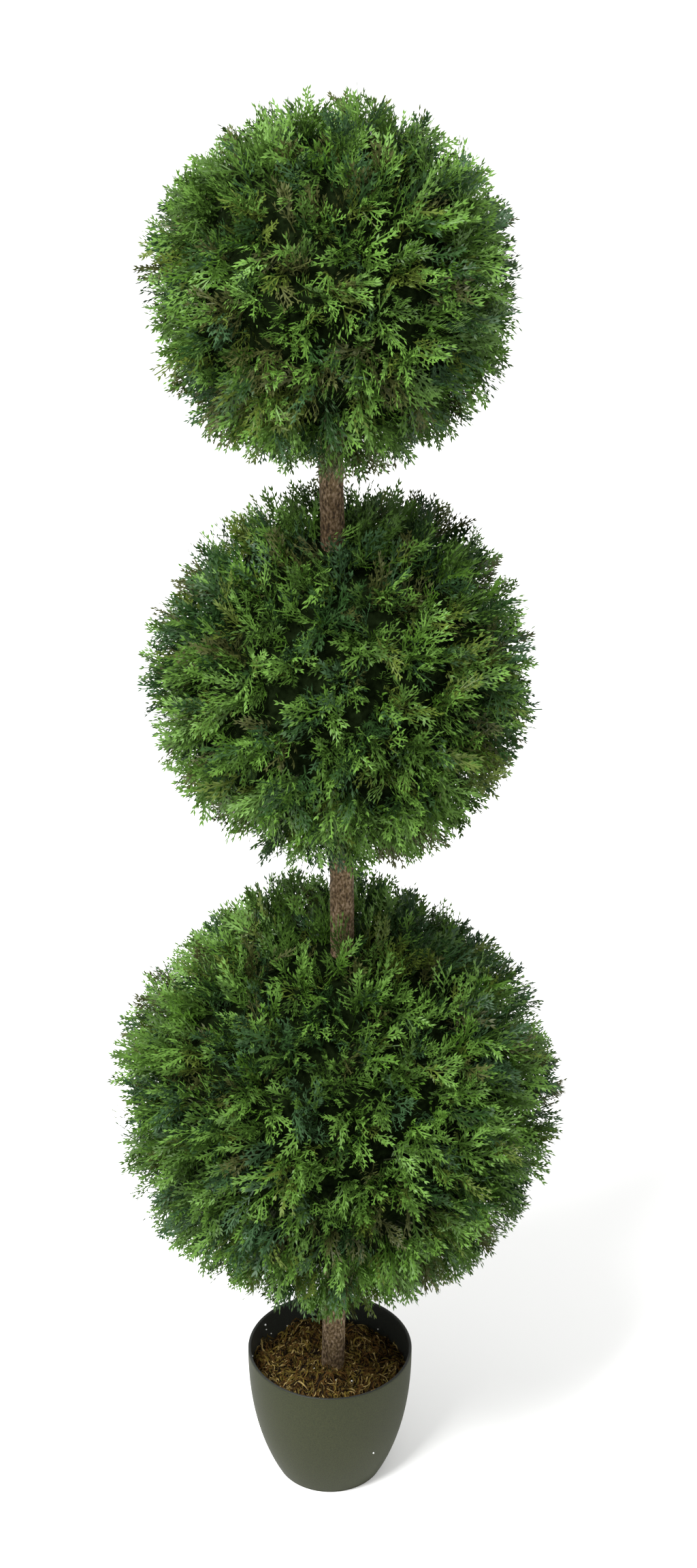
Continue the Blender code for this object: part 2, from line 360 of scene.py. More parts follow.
def add_node(tree, kind, inputs=None, stops=(), **settings):
    """Add a shader node with its settings, its inputs' values or incoming sockets, and its ramp's stops."""
    node = tree.nodes.new("ShaderNode" + kind)
    for name, value in settings.items():
        setattr(node, name, value)
    for name, value in (inputs or {}).items():
        if isinstance(value, bpy.types.NodeSocket):
            tree.links.new(value, node.inputs[name])
        else:
            node.inputs[name].default_value = value
    if stops:
        elements = node.color_ramp.elements
        while len(elements) < len(stops):
            elements.new(0.5)
        for element, (position, colour) in zip(elements, stops):
            element.position = position
            element.color = (*colour, 1.0)
    return node


def mottled(tree, size, stops, detail=2.0, flatten=1.0, under=None):
    """Colours in blotches of one size on Object coordinates, and the blotches' height.

    Flattening below one draws them out along Z. Laid over another colour, they multiply it.
    """
    place = add_node(tree, "TexCoord")
    scale = (1.0 / size, 1.0 / size, flatten / size)
    mapping = add_node(tree, "Mapping", {"Vector": place.outputs["Object"], "Scale": scale})
    spread = {"Vector": mapping.outputs["Vector"], "Scale": 1.0, "Detail": detail}
    height = add_node(tree, "TexNoise", spread).outputs["Fac"]
    colour = add_node(tree, "ValToRGB", {"Fac": height}, stops).outputs["Color"]
    if under is not None:
        layers = {MIX_FACTOR: 1.0, MIX_UNDER: under, MIX_OVER: colour}
        mix = add_node(tree, "Mix", layers, data_type="RGBA", blend_type="MULTIPLY")
        colour = mix.outputs[MIX_RESULT]
    return colour, height


def new_material(name, roughness, shine=0.5):
    """A material with its Principled shader, whose constant values sit on the shader's own sockets."""
    material = bpy.data.materials.new(name)
    material.use_nodes = True
    tree = material.node_tree
    shader = tree.nodes["Principled BSDF"]
    shader.inputs["Roughness"].default_value = roughness
    shader.inputs["Specular IOR Level"].default_value = shine
    return material, tree, shader


def set_surface(tree, shader, colour, height=None, strength=0.0, distance=0.0):
    """Give the shader its colour and, where there is a height pattern, relief by it."""
    tree.links.new(colour, shader.inputs["Base Color"])
    if height is not None:
        relief = add_node(tree, "Bump", {"Height": height, "Strength": strength, "Distance": distance})
        tree.links.new(relief.outputs["Normal"], shader.inputs["Normal"])


def moulded_foliage(name, colour):
    """Polyethylene, injection moulded and dyed through: a soft half-matt green with faint dye clouds."""
    material, tree, shader = new_material(name, roughness=0.5, shine=0.22)
    clouds, _ = mottled(tree, DYE_CLOUD, ((0.32, shade(colour, 0.80)), (0.68, shade(colour, 1.18))))
    set_surface(tree, shader, clouds)
    return material


def stalk_plastic(colour):
    """The same plastic deep in the balls: dull and brownish, and darkened with painted shade for the little
    light there.
    """
    material, tree, shader = new_material("stalk_plastic", roughness=0.7, shine=0.2)
    clouds, _ = mottled(tree, STALK_CLOUD, ((0.3, shade(colour, 0.7)), (0.7, colour)))
    set_surface(tree, shader, clouds)
    return material


def core_plastic(colour):
    """The ball's inner cage packed with short foliage: almost black green, painted shade for the dim inside
    of the ball, with no gloss.
    """
    material, tree, shader = new_material("core_plastic", roughness=0.95, shine=0.0)
    stops = ((0.35, shade(colour, 0.35)), (0.7, colour))
    clumps, height = mottled(tree, CORE_CLUMP, stops, detail=4.0)
    set_surface(tree, shader, clumps, height, strength=0.8, distance=0.003)
    return material


def thin_bark(settings):
    """Natural wood with its thin bark left on: matt brown with short pale flakes and dark cracks."""
    material, tree, shader = new_material("thin_bark", roughness=0.88, shine=0.2)
    browns = ((0.36, settings.dark_bark), (0.50, settings.bark), (0.70, settings.pale_bark))
    damp = ((0.35, (0.62, 0.58, 0.55)), (0.62, WHITE))
    flakes, height = mottled(tree, BARK_FLAKE, browns, detail=3.0, flatten=0.55)
    patches, _ = mottled(tree, BARK_PATCH, damp, flatten=0.5, under=flakes)
    set_surface(tree, shader, patches, height, strength=0.55, distance=0.0006)
    return material


def sandy_plastic(name, light, dark, grain, roughness):
    """Polypropylene moulded against a sand-blasted tool: matt, with an even fine grain.

    Its real grain is about 0.4 mm. It is drawn coarser so that it shows at all.
    """
    material, tree, shader = new_material(name, roughness, shine=0.15)
    drift = ((0.3, shade(WHITE, 0.94)), (0.7, WHITE))
    sand, height = mottled(tree, grain, ((0.38, dark), (0.62, light)), detail=1.0)
    clouds, _ = mottled(tree, WALL_DRIFT, drift, detail=1.0, under=sand)
    set_surface(tree, shader, clouds, height, strength=0.35, distance=0.0003)
    return material


def dry_moss(name, colour):
    """Dried moss fibre: matt, darker and lighter along its length."""
    material, tree, shader = new_material(name, roughness=0.95, shine=0.1)
    stops = ((0.32, shade(colour, 0.55)), (0.68, shade(colour, 1.2)))
    blotches, _ = mottled(tree, MOSS_BLOTCH, stops, detail=3.0)
    set_surface(tree, shader, blotches)
    return material


def cast_cement():
    """Grey cement poured into the pot: rough and mottled."""
    material, tree, shader = new_material("cast_cement", roughness=0.9)
    greys = ((0.3, linear("6E6A62")), (0.7, linear("9C978C")))
    mottle, height = mottled(tree, CEMENT_MOTTLE, greys, detail=4.0)
    set_surface(tree, shader, mottle, height, strength=0.5, distance=0.001)
    return material


def bead_foam():
    """Expanded polystyrene, blown in steam: white and softly shining, with faint cells."""
    material, tree, shader = new_material("foam_bead", roughness=0.55)
    whites = ((0.3, linear("D8DAD6")), (0.7, linear("FBFBF8")))
    cells, _ = mottled(tree, FOAM_CELL, whites, detail=1.0)
    set_surface(tree, shader, cells)
    return material


def floor_paper(colour):
    """Matt white background paper, with a very faint drift."""
    material, tree, shader = new_material("floor_paper", roughness=0.9)
    stops = ((0.3, shade(colour, 0.985)), (0.7, colour))
    drift, _ = mottled(tree, PAPER_DRIFT, stops, detail=1.0)
    set_surface(tree, shader, drift)
    return material


def value_noise(u, v, columns, rows, seed):
    """Smooth random heights from -1 to 1 over u and v in 0 to 1, on a lattice that wraps both ways.

    The four lattice values round a point are blended by the curve 3t^2 - 2t^3.
    """
    table = np.random.default_rng(seed).uniform(-1.0, 1.0, (rows, columns))
    x, y = u * columns, v * rows
    x0, y0 = np.floor(x).astype(int), np.floor(y).astype(int)
    s, t = x - x0, y - y0
    s, t = s * s * (3.0 - 2.0 * s), t * t * (3.0 - 2.0 * t)
    x0, y0 = x0 % columns, y0 % rows
    x1, y1 = (x0 + 1) % columns, (y0 + 1) % rows
    low = table[y0, x0] * (1.0 - s) + table[y0, x1] * s
    high = table[y1, x0] * (1.0 - s) + table[y1, x1] * s
    return low * (1.0 - t) + high * t


def add_object(name, data):
    """Put a mesh, lamp or camera into the scene."""
    item = bpy.data.objects.new(name, data)
    bpy.context.scene.collection.objects.link(item)
    return item


def new_mesh(name, points, faces, materials, smooth=True, material_index=None):
    """A mesh of points and groups of three or four-cornered faces."""
    corners = np.concatenate([group.ravel() for group in faces])
    sizes = np.concatenate([np.full(len(group), group.shape[1]) for group in faces])
    starts = np.concatenate([[0], np.cumsum(sizes)[:-1]])
    mesh = bpy.data.meshes.new(name)
    mesh.vertices.add(len(points))
    mesh.vertices.foreach_set("co", np.ascontiguousarray(points, dtype=np.float32).ravel())
    mesh.loops.add(len(corners))
    mesh.loops.foreach_set("vertex_index", corners.astype(np.int32))
    mesh.polygons.add(len(sizes))
    mesh.polygons.foreach_set("loop_start", starts.astype(np.int32))
    mesh.polygons.foreach_set("use_smooth", np.full(len(sizes), smooth))
    if material_index is not None:
        mesh.polygons.foreach_set("material_index", material_index.astype(np.int32))
    for material in materials:
        mesh.materials.append(material)
    mesh.update(calc_edges=True)
    mesh.validate()
    return mesh


def add_piece(name, points, faces, materials, replaced=(), slot=None, **shading):
    """A piece on the body, with the nodes that it replaces. Its slot is not used."""
    piece = add_object(name, new_mesh(name, points, faces, materials, **shading))
    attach(piece, BODY)
    if replaced:
        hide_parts(*replaced)


def ring_turns(sides):
    """Even angles once round a ring."""
    return np.arange(sides) * FULL_TURN / sides


def grid_faces(rows, columns, wrap_rows=False):
    """Quads over a grid of points whose columns close into a ring, and its rows too if asked.

    With rows that rise, and columns that run counter-clockwise from above, they face away from Z.
    """
    row = np.arange(rows if wrap_rows else rows - 1)[:, None]
    column = np.arange(columns)[None, :]
    after = (column + 1) % columns
    start, next_start = row * columns, (row + 1) % rows * columns
    corners = (start + column, start + after, next_start + after, next_start + column)
    return np.stack(np.broadcast_arrays(*corners), -1).reshape(-1, 4)


def cap_faces(ring_start, columns, pole, looks_down=False):
    """Triangles from a ring of points to one pole."""
    column = np.arange(columns)
    ring, after = ring_start + column, ring_start + (column + 1) % columns
    middle = np.full(columns, pole)
    return np.stack([after, ring, middle] if looks_down else [ring, after, middle], -1)


def turned(radii, heights, sides):
    """Rings of points about Z, one for each profile point, counter-clockwise from above."""
    turn = ring_turns(sides)
    x = radii[:, None] * np.cos(turn)
    y = radii[:, None] * np.sin(turn)
    z = np.broadcast_to(heights[:, None], x.shape)
    return np.stack([x, y, z], -1)


def stem_centre(heights):
    """The stem's centre line as x over z: a half wave to one side, straight at its top."""
    share = np.clip(heights / STEM_BOW_END, 0.0, 1.0)
    return STEM_BOW * np.sin(math.pi * share) ** STEM_BOW_POWER


def pot_radius(heights):
    """The pot's outer radius: a quarter of a superellipse between foot and rim."""
    rest = 1.0 - np.clip(heights / POT_HEIGHT, 0.0, 1.0)
    share = (1.0 - rest ** POT_UPRIGHT_POWER) ** (1.0 / POT_FLARE_POWER)
    return POT_FOOT_RADIUS + (POT_RIM_RADIUS - POT_FOOT_RADIUS) * share


def unit(vectors):
    """Vectors divided by their lengths."""
    return vectors / np.linalg.norm(vectors, axis=-1, keepdims=True)


def flat_vector(angle):
    """Unit vectors in the XY plane: the cosine and sine of each angle."""
    return np.stack([np.cos(angle), np.sin(angle), np.zeros_like(angle)], -1)


def side_axes(directions):
    """Two unit vectors square to each direction and to each other."""
    helper = np.where(np.abs(directions[..., 2:3]) < 0.9, (0.0, 0.0, 1.0), (1.0, 0.0, 0.0))
    first = unit(np.cross(helper, directions))
    return first, np.cross(directions, first)


def spread_directions(count):
    """Even directions over a sphere, on a spiral that turns by the golden angle, from top to bottom."""
    number = np.arange(count)
    height = 1.0 - 2.0 * (number + 0.5) / count
    ring = np.sqrt(1.0 - height * height)
    angle = GOLDEN_ANGLE * number
    return np.stack([ring * np.cos(angle), ring * np.sin(angle), height], -1)


def kites(start, angle, length, width, roll):
    """Prongs as flat kites, each rolled about its length: root, a side, tip, the other side."""
    along = flat_vector(angle) * length[..., None]
    across = flat_vector(angle + math.pi / 2) * np.cos(roll)[..., None]
    across[..., 2] = np.sin(roll)
    half = across * (width / 2)[..., None]
    middle = start + PRONG_WIDEST * along
    return np.stack([start, middle - half, start + along, middle + half], -2)


def strips(start, end, start_width, end_width):
    """Four-cornered strips that taper from start to end, with their width in the XY plane."""
    along = end - start
    across = unit(np.stack([-along[..., 1], along[..., 0], np.zeros_like(along[..., 0])], -1))
    a, b = across * start_width / 2, across * end_width / 2
    return np.stack([start - a, end - b, end + b, start + a], -2)


def branchlet_curves(settings, chance):
    """Roots, elbows and ends of a spray's branchlets, with their angles.

    They leave the stalk left and right in turn, at an angle that closes towards the spray's tip, and
    bend forward at the elbow. The longest are in the middle, by a half wave. The last one runs on.
    """
    count = SIDE_BRANCHLETS + 1
    number = np.arange(count)
    uneven = number + chance.uniform(-BRANCHLET_SLIP, BRANCHLET_SLIP, count)
    share = BRANCHLET_START + BRANCHLET_SPAN * uneven / SIDE_BRANCHLETS
    side = np.where(number % 2 == 0, 1.0, -1.0)
    side[-1] = chance.uniform(-LAST_BRANCHLET_TURN, LAST_BRANCHLET_TURN)
    fan = np.sin(math.pi * np.clip(FAN_START + FAN_SPAN * share, 0.0, 1.0)) ** FAN_POWER
    reach = (settings.branchlet_length * fan * chance.uniform(*BRANCHLET_LENGTHS, count))[:, None]
    angle = side * np.radians(BRANCHLET_ANGLE - BRANCHLET_CLOSING * share)
    sway = STALK_SWAY * np.sin(STALK_WAVES * share * math.pi + chance.uniform(0.0, STALK_PHASES))
    root = np.stack([share * settings.spray_length, sway, np.zeros(count)], -1)
    slope = chance.uniform(-BRANCHLET_LIFT, BRANCHLET_LIFT, (count, 1))
    lift = slope * reach * np.array([0.0, 0.0, 1.0])
    elbow = root + flat_vector(angle) * reach * 0.5 + lift * 0.5
    end = elbow + flat_vector(angle * BRANCHLET_BEND) * reach * 0.5 + lift * 0.5
    return root, elbow, end, angle


def spray_pattern(settings, chance):
    """Corners (n, 4, 3) of one moulded spray along +X from the origin, and each quad's limb.

    Branchlets are quadratic curves from root to end, pulled by their elbow. Each carries prongs left
    and right in turn and ends in a fork. Limb 0 is the stalk and the others are the branchlets.
    """
    root, elbow, end, angle = branchlet_curves(settings, chance)
    count, prongs_each = len(root), len(PRONG_PLACES)
    shape = (count, prongs_each)

    def on_branchlet(t):
        t = t[..., None]
        return (1 - t) ** 2 * root[:, None] + 2 * t * (1 - t) * elbow[:, None] + t ** 2 * end[:, None]

    line = on_branchlet(np.broadcast_to(np.array([0.0, 0.5, 1.0]), (count, 3)))
    wood = [
        strips(line[:, i], line[:, i + 1], width, width * BRANCHLET_TAPER)
        for i, width in enumerate(BRANCHLET_WIDTHS)
    ]
    slip = chance.uniform(-PRONG_SLIP, PRONG_SLIP, shape)
    share = np.broadcast_to(np.array(PRONG_PLACES), shape) + slip
    side = np.array(PRONG_SIDES) * np.where(np.arange(count) % 2 == 0, 1.0, -1.0)[:, None]
    spread = np.radians(np.array(PRONG_ANGLES))
    local = angle[:, None] * (1.0 - PRONG_CLOSING * share)
    prong_angle = local + side * spread * chance.uniform(*PRONG_SPREADS, shape)
    length = np.array(PRONG_SIZES) * settings.prong_length * chance.uniform(*PRONG_LENGTHS, shape)
    roll = chance.uniform(-PRONG_ROLL, PRONG_ROLL, shape)
    width = settings.prong_width * chance.uniform(*PRONG_WIDTHS, shape)
    prongs = kites(on_branchlet(np.clip(share, 0.0, 1.0)), prong_angle, length, width, roll)

    knots = np.concatenate([[[0.0, 0.0, 0.0]], root[1::2], end[-1:]])
    stalk = strips(knots[:-1], knots[1:], *STALK_WIDTHS)
    branchlet = np.arange(1, count + 1)
    limbs = [np.zeros(len(stalk), int), branchlet, branchlet, np.repeat(branchlet, prongs_each)]
    return np.concatenate([stalk, *wood, prongs.reshape(-1, 4, 3)]), np.concatenate(limbs)


def pick_sprays(ball, settings, spray_reach, chance):
    """Frames, roots and stalk starts of all the sprays of a ball.

    Picks follow the golden spiral. The sprays of a pick fan out from points on its stalk to tips
    that are spread over the pick's share of the sphere, by the same spiral in the plane. A tip's
    level is its pick's own, less a random fall that is mostly small.
    """
    picks, per_pick = ball["picks"], settings.sprays_per_pick
    radius = ball["radius"]
    shape = (picks, per_pick)
    jitter = chance.normal(0.0, PICK_UNEVENNESS / math.sqrt(picks), (picks, 3))
    heading = unit(spread_directions(picks) + jitter)
    first, second = side_axes(heading)
    number = np.arange(per_pick)
    spread = PICK_SPREAD / math.sqrt(picks) * np.sqrt((number + FIRST_TIP) / per_pick)
    turn = GOLDEN_ANGLE * number + chance.uniform(0.0, FULL_TURN, (picks, 1))
    sideways = first[:, None] * np.cos(turn)[..., None] + second[:, None] * np.sin(turn)[..., None]
    toward = unit(heading[:, None] + sideways * spread[None, :, None])
    level = chance.uniform(*PICK_LEVELS, (picks, 1)) + FULL_LEVEL - FALL_BACK * chance.random(shape) ** 2.0
    tips = toward * (radius * (1.0 + np.minimum(level, HIGHEST_LEVEL)))[..., None]
    stalk = heading[:, None] * radius * chance.uniform(*FORK_SHARES, shape)[..., None]
    along = unit(unit(tips - stalk) + chance.normal(0.0, SPRAY_LEAN, (*shape, 3)))
    scale = chance.uniform(*SPRAY_SCALES, shape)
    roots = tips - along * (spray_reach * scale)[..., None]
    side, _ = side_axes(along)
    other = np.cross(along, side)
    roll = chance.uniform(0.0, FULL_TURN, shape)[..., None]
    across = side * np.cos(roll) + other * np.sin(roll)
    normal = np.cross(along, across)
    frames = np.stack([along, across, normal], -2) * scale[..., None, None]
    centre = np.array([ball["x"], 0.0, ball["z"]])
    return {
        "frames": frames.reshape(-1, 3, 3),
        "roots": roots.reshape(-1, 3) + centre,
        "stalks": stalk.reshape(-1, 3) + centre,
        "heading": heading,
        "centre": centre,
    }


def place_sprays(patterns, choice, frames, roots, bends, cups):
    """Bend each spray's pattern (z grows with x^2 and y^2), turn it by its frame, move it to its root."""
    placed = np.empty((len(choice), *patterns.shape[1:]))
    for number, pattern in enumerate(patterns):
        mine = choice == number
        points = np.broadcast_to(pattern, (mine.sum(), *pattern.shape)).copy()
        bend, cup = bends[mine, None, None], cups[mine, None, None]
        points[..., 2] += bend * points[..., 0] ** 2 + cup * points[..., 1] ** 2
        placed[mine] = np.einsum("sqcj,sjk->sqck", points, frames[mine]) + roots[mine, None, None]
    return placed


def clear_of_stem(points, gap):
    """True for each point that is at least the gap away from the stem's surface."""
    away = np.hypot(points[..., 0] - stem_centre(points[..., 2]), points[..., 1])
    return (away > STEM_FOOT_RADIUS + gap) | (points[..., 2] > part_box("stem")[1].z + gap)


def whole_limbs(quads, limbs, ball, centre):
    """True for the quads of limbs that clear the stem and keep within reach, on stalks that do."""
    away = np.linalg.norm(quads - centre, axis=-1).max(2)
    bad = ~clear_of_stem(quads, SPRAY_STEM_GAP).all(2) | (away > ball["radius"] * REACH_LIMIT)
    bad_limb = np.stack([bad[:, limbs == limb].any(1) for limb in range(limbs.max() + 1)], 1)
    return ~(bad_limb[:, limbs] | bad_limb[:, :1]).ravel()


def face_outward(quads, centre):
    """Turn round the corner order of each quad whose front looks towards the ball's centre."""
    normal = np.cross(quads[:, 2] - quads[:, 0], quads[:, 3] - quads[:, 1])
    inward = np.einsum("ij,ij->i", normal, quads.mean(1) - centre) < 0.0
    quads[inward] = quads[inward][:, ::-1]
    return quads


def deal_greens(picks, per_pick, chance):
    """A green for each spray: its pick's own for some, any green for the others."""
    count = picks * per_pick
    own = np.repeat(chance.choice(len(GREEN_SHARES), picks, p=GREEN_SHARES), per_pick)
    other = chance.choice(len(GREEN_SHARES), count, p=GREEN_SHARES)
    return np.where(chance.random(count) < PICK_GREEN_SHARE, own, other)


def build_sprays(node, ball, settings, greens):
    """Grow a ball's sprays in two joined pieces, and return the sprays' places."""
    chance = np.random.default_rng(ball["seed"])
    made = [spray_pattern(settings, chance) for _ in range(SPRAY_PATTERNS)]
    patterns, limbs = np.stack([quads for quads, _ in made]), made[0][1]
    places = pick_sprays(ball, settings, patterns[..., 0].max(), chance)
    count = len(places["roots"])
    choice = chance.integers(0, len(patterns), count)
    bends = chance.uniform(-SPRAY_BEND, SPRAY_BEND, count)
    cups = chance.uniform(-SPRAY_CUP, SPRAY_CUP, count)
    quads = place_sprays(patterns, choice, places["frames"], places["roots"], bends, cups)
    dealt = deal_greens(ball["picks"], settings.sprays_per_pick, chance)
    # Outer prongs take the last green: lighter new growth, and painted light on the outside of the ball.
    outer = patterns.mean(2)[..., 0] > NEW_GROWTH_LIT_FROM * settings.spray_length
    new_growth_lit = (chance.random((count, 1)) < NEW_GROWTH_LIT_SHARES[dealt][:, None]) & outer[choice]
    colours = np.where(new_growth_lit, len(NEW_GROWTH_LIT_SHARES), dealt[:, None]).ravel()
    keep = whole_limbs(quads, limbs, ball, places["centre"])
    owner = np.repeat(np.arange(count), patterns.shape[1])
    quads = face_outward(quads.reshape(-1, 4, 3), places["centre"])
    for part, half in (("upper", owner < count // 2), ("lower", owner >= count // 2)):
        mine = quads[keep & half]
        faces = [np.arange(len(mine) * 4).reshape(-1, 4)]
        add_piece(f"{node}_sprays_{part}", mine.reshape(-1, 3), faces, greens, (node,), "foliage",
                  smooth=False, material_index=colours[keep & half])
    return places


def thin_rods(starts, ends):
    """Three-sided rods that taper from starts to ends: points (n * 6, 3) and quads (n * 3, 4)."""
    first, second = side_axes(unit(ends - starts))
    turn = ring_turns(3)[:, None]
    ring = (first[:, None] * np.cos(turn) + second[:, None] * np.sin(turn)) * ROD_RADIUS
    points = np.concatenate([starts[:, None] + ring, ends[:, None] + ring * ROD_TAPER], 1)
    faces = np.arange(len(starts))[:, None, None] * 6 + grid_faces(2, 3)
    return points.reshape(-1, 3), faces.reshape(-1, 4)


def build_stalks(node, ball, settings, places):
    """One stalk down each pick, and one from it to each spray."""
    pick_ends = [places["centre"] + places["heading"] * ball["radius"] * share for share in PICK_STALK]
    starts = np.concatenate([pick_ends[0], places["stalks"]])
    ends = np.concatenate([pick_ends[1], places["roots"]])
    keep = clear_of_stem(starts, ROD_STEM_GAP) & clear_of_stem(ends, ROD_STEM_GAP)
    keep &= np.linalg.norm(ends - starts, axis=1) > SHORTEST_ROD
    points, faces = thin_rods(starts[keep], ends[keep])
    add_piece(f"{node}_stalks", points, [faces], [stalk_plastic(settings.twig_brown)], (node,), "foliage")


def build_core(node, ball, settings):
    """The inside, almost black with painted shade: a sphere over latitude and longitude whose radius swells
    by two wrapped noises.

    The swelling fades by the sine of the latitude towards the poles.
    """
    rows, columns = CORE_ROWS, CORE_COLUMNS
    latitude = (np.arange(1, rows + 1) / (rows + 1) * math.pi)[:, None]
    longitude = (np.arange(columns) / columns * 2.0 * math.pi)[None, :]
    u, v = np.broadcast_arrays(longitude / FULL_TURN, latitude / math.pi)
    swell = sum(
        strength * value_noise(u, v, across, down, ball["seed"] + more)
        for strength, across, down, more in CORE_LUMPS
    )
    radius = ball["radius"] * settings.core_share
    grown = radius * (1.0 + swell * np.sin(latitude))
    points = np.stack([
        grown * np.sin(latitude) * np.cos(longitude),
        grown * np.sin(latitude) * np.sin(longitude),
        grown * np.cos(latitude),
    ], -1).reshape(-1, 3)
    points = np.concatenate([points, [[0.0, 0.0, radius], [0.0, 0.0, -radius]]])
    points = points + np.array([ball["x"], 0.0, ball["z"]])
    faces = [
        grid_faces(rows, columns)[:, ::-1],
        cap_faces(0, columns, rows * columns),
        cap_faces((rows - 1) * columns, columns, rows * columns + 1, looks_down=True),
    ]
    add_piece(f"{node}_core", points, faces, [core_plastic(settings.core_green)], (node,), "foliage")


def build_stem(settings):
    """A tube on the stem's bowed centre line: radius falls evenly, plus wrapped noises for the bark.

    Broad swellings, tall narrow cracks and short flakes are added to the radius over turn and height.
    A crack lies where its noise is near zero.
    """
    low, high = (corner.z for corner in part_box("stem"))
    sides, rows = STEM_SIDES, int((high - low) / STEM_RING_GAP)
    height = np.linspace(low, high, rows)[:, None]
    turn = ring_turns(sides)[None, :]
    share = (height - low) / (high - low)
    u, v = np.broadcast_arrays(turn / FULL_TURN, share)
    swelling = BARK_SWELLING * value_noise(u, v, *BARK_SWELLS)
    depth = np.clip(CRACK_EDGE - np.abs(value_noise(u, v, *BARK_CRACKS)), 0.0, 1.0)
    cracks = -settings.crack_depth * depth * CRACK_GAIN
    flakes = settings.flake_depth * value_noise(u, v, *BARK_FLAKES)
    radius = STEM_FOOT_RADIUS + (STEM_TOP_RADIUS - STEM_FOOT_RADIUS) * share + swelling + cracks + flakes
    points = np.stack([
        stem_centre(height) + radius * np.cos(turn),
        radius * np.sin(turn),
        np.broadcast_to(height, radius.shape),
    ], -1).reshape(-1, 3)
    poles = [[float(stem_centre(np.array(z))), 0.0, z] for z in (low, high)]
    points = np.concatenate([points, poles])
    faces = [
        grid_faces(rows, sides),
        cap_faces(0, sides, rows * sides, looks_down=True),
        cap_faces((rows - 1) * sides, sides, rows * sides + 1),
    ]
    add_piece("stem_bark", points, faces, [thin_bark(settings)], ("stem",), "stem_bark")


def build_pot_wall(settings):
    """A closed profile turned about Z: inner floor, inner wall, round lip, outer wall, round foot, base."""
    sides = POT_SIDES
    lip = POT_WALL / 2
    top = POT_HEIGHT - lip
    inner_z = np.linspace(POT_FLOOR, top, INNER_WALL_STEPS)
    outer_z = np.linspace(top, POT_FOOT_ROUNDING, OUTER_WALL_STEPS)
    bend = np.linspace(math.pi, 0.0, LIP_STEPS)[1:-1]
    foot = np.linspace(0.0, math.pi / 2, FOOT_STEPS)[1:]
    foot_middle = pot_radius(np.array(POT_FOOT_ROUNDING)) - POT_FOOT_ROUNDING
    radii = np.concatenate([
        [POT_HUB_RADIUS], pot_radius(inner_z) - POT_WALL, POT_RIM_RADIUS - lip + lip * np.cos(bend),
        pot_radius(outer_z), foot_middle + POT_FOOT_ROUNDING * np.cos(foot), [POT_HUB_RADIUS],
    ])
    heights = np.concatenate([
        [POT_FLOOR], inner_z, top + lip * np.sin(bend),
        outer_z, POT_FOOT_ROUNDING - POT_FOOT_ROUNDING * np.sin(foot), [0.0],
    ])
    rows = len(radii)
    points = turned(radii, heights, sides).reshape(-1, 3)
    points = np.concatenate([points, [[0.0, 0.0, POT_FLOOR], [0.0, 0.0, 0.0]]])
    faces = [
        grid_faces(rows, sides)[:, ::-1],
        cap_faces(0, sides, rows * sides),
        cap_faces((rows - 1) * sides, sides, rows * sides + 1, looks_down=True),
    ]
    inner_rows = len(inner_z) + len(bend) - 1
    is_inside = np.zeros(sum(len(group) for group in faces))
    is_inside[:inner_rows * sides] = 1
    is_inside[len(faces[0]):len(faces[0]) + sides] = 1
    outside = sandy_plastic("pot_outside", settings.outside, settings.outside_dark, settings.grain, 0.62)
    inside = sandy_plastic(
        "pot_inside", settings.inside, shade(settings.inside, 0.75), settings.grain * 1.4, 0.5)
    add_piece("pot_wall", points, faces, [outside, inside], ("pot",), "pot_plastic", material_index=is_inside)


def moss_height(x, y, settings):
    """The heap's top: it falls from the stem to the wall, with three sizes of lump on it."""
    share = np.clip(np.hypot(x, y) / MOSS_SPREAD, 0.0, 1.0)
    fall = (settings.heap_height - settings.edge_height) * share ** MOSS_FALL_POWER
    u, v = x / MOSS_NOISE_SPAN + 0.5, y / MOSS_NOISE_SPAN + 0.5
    lumps = sum(strength * value_noise(u, v, cells, cells, seed) for strength, cells, seed in MOSS_LUMPS)
    return settings.heap_height - fall + settings.lump_height * lumps


def build_moss_heap(settings):
    """A closed ring of moss round the stem: its top is the lumpy heap, its flat base lies on the filling."""
    sides = MOSS_SIDES
    turn = ring_turns(sides)[None, :]
    base_edge = pot_radius(np.array(MOSS_LOW)) - POT_WALL - MOSS_WALL_GAP
    inner = STEM_FOOT_RADIUS + MOSS_STEM_GAP
    share = np.linspace(0.0, 1.0, MOSS_RINGS)[:, None]
    centre = stem_centre(np.array(MOSS_LOW)) * (1.0 - share)
    radius = inner + (base_edge + MOSS_OVERHANG - inner) * share
    x, y = centre + radius * np.cos(turn), radius * np.sin(turn)
    top = np.stack([x, y, moss_height(x, y, settings)], -1)
    base = top[[-1, 0]].copy()
    base[0, :, :2] *= (base_edge / np.hypot(base[0, :, 0], base[0, :, 1]))[:, None]
    base[..., 2] = MOSS_LOW
    points = np.concatenate([top, base]).reshape(-1, 3)
    outward = [0, 3, 2, 1]
    faces = grid_faces(MOSS_RINGS + len(base), sides, wrap_rows=True)[:, outward]
    # The heap under the strands is near black: painted shade among the strands.
    add_piece("moss_heap", points, [faces], [dry_moss("moss_bed", settings.bed)], ("moss",), "dry_moss")


